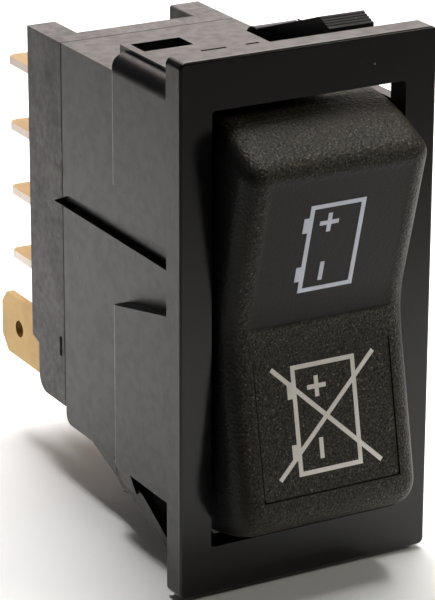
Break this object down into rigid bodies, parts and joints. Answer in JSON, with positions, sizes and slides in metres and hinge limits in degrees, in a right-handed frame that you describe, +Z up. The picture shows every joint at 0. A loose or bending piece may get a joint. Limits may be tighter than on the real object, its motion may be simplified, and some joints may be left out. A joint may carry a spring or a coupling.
{
  "type": "momentary rocker switch",
  "caption": "Snap-in panel rocker switch for a battery isolator relay, with printed battery signs and brass tab terminals.",
  "frame": {"origin": "centre of the bezel's rear face, which lies on the panel", "axes": "+X to the right as the user faces the bezel, +Y into the panel, +Z up along the switch's height"},
  "size_m": [0.026, 0.0515, 0.0508],
  "materials": {
    "black_plastic": "satin",
    "black_base_plastic": "matte",
    "rocker_plastic": "fine texture",
    "label_plastic": "satin",
    "lens_print": "translucent",
    "grey_print": "matte",
    "clear_plastic": "polished",
    "white_plastic": "matte",
    "brass": "bare",
    "silver": "satin",
    "spring_steel": "drawn",
    "board": "lacquered",
    "resistor": "matte"
  },
  "bodies": {
    "switch_body": {"housing": "black_plastic", "terminal_base": "black_base_plastic", "left_fixed_contacts": "silver", "left_common_terminal": "brass", "left_upper_terminal": "brass", "left_lower_terminal": "brass", "left_lamp_feed_terminal": "brass", "left_lamp_return_terminal": "brass", "right_fixed_contacts": "silver", "right_common_terminal": "brass", "right_upper_terminal": "brass", "right_lower_terminal": "brass", "right_lamp_feed_terminal": "brass", "right_lamp_return_terminal": "brass", "pivot_pins": "black_plastic", "lamp_board": "board", "lamp_spacer": "white_plastic", "indicator_lamp": "clear_plastic", "lamp_leads": "silver", "lamp_resistor": "resistor"},
    "rocker": {"rocker_cap": "rocker_plastic", "label_plate": "label_plastic", "upper_symbol": "lens_print", "lower_symbol": "grey_print", "light_guide": "clear_plastic", "left_plunger_spring": "spring_steel", "right_plunger_spring": "spring_steel"},
    "upper_latch": {"upper_latch": "black_plastic"},
    "lower_latch": {"lower_latch": "black_plastic"},
    "left_plunger": {"left_plunger": "white_plastic"},
    "right_plunger": {"right_plunger": "white_plastic"},
    "left_lever": {"left_contact_lever": "brass", "left_moving_contacts": "silver"},
    "right_lever": {"right_contact_lever": "brass", "right_moving_contacts": "silver"}
  },
  "joints": [
    {"name": "rocker_tilt", "type": "hinge", "parent": "switch_body", "child": "rocker", "pos_m": [0, 0.0024, 0], "axis": [1, 0, 0], "range_deg": [-10, 10], "stiffness_Nm_per_rad": 0.2},
    {"name": "upper_latch_bend", "type": "hinge", "parent": "switch_body", "child": "upper_latch", "pos_m": [0.0069, 0.0155, 0.02025], "axis": [1, 0, 0], "range_deg": [0, 16], "stiffness_Nm_per_rad": 0.15, "springref_deg": -2.86},
    {"name": "lower_latch_bend", "type": "hinge", "parent": "switch_body", "child": "lower_latch", "pos_m": [-0.0069, 0.0155, -0.02025], "axis": [1, 0, 0], "range_deg": [-16, 0], "stiffness_Nm_per_rad": 0.15, "springref_deg": 2.86},
    {"name": "left_plunger_slide", "type": "slide", "parent": "rocker", "child": "left_plunger", "axis": [0, -1, 0], "range_m": [0, 0.0006], "stiffness_N_per_m": 400, "springref_m": -0.002, "deforming": ["left_plunger_spring"]},
    {"name": "left_lever_rock", "type": "hinge", "parent": "switch_body", "child": "left_lever", "pos_m": [-0.0042, 0.01925, 0], "axis": [1, 0, 0], "range_deg": [-7, 7]},
    {"name": "right_plunger_slide", "type": "slide", "parent": "rocker", "child": "right_plunger", "axis": [0, -1, 0], "range_m": [0, 0.0006], "stiffness_N_per_m": 400, "springref_m": -0.002, "deforming": ["right_plunger_spring"]},
    {"name": "right_lever_rock", "type": "hinge", "parent": "switch_body", "child": "right_lever", "pos_m": [0.0042, 0.01925, 0], "axis": [1, 0, 0], "range_deg": [-7, 7]}
  ],
  "couplings": [
    {"joint": "left_lever_rock", "follows": "rocker_tilt", "ratio": -0.7},
    {"joint": "right_lever_rock", "follows": "rocker_tilt", "ratio": -0.7}
  ]
}
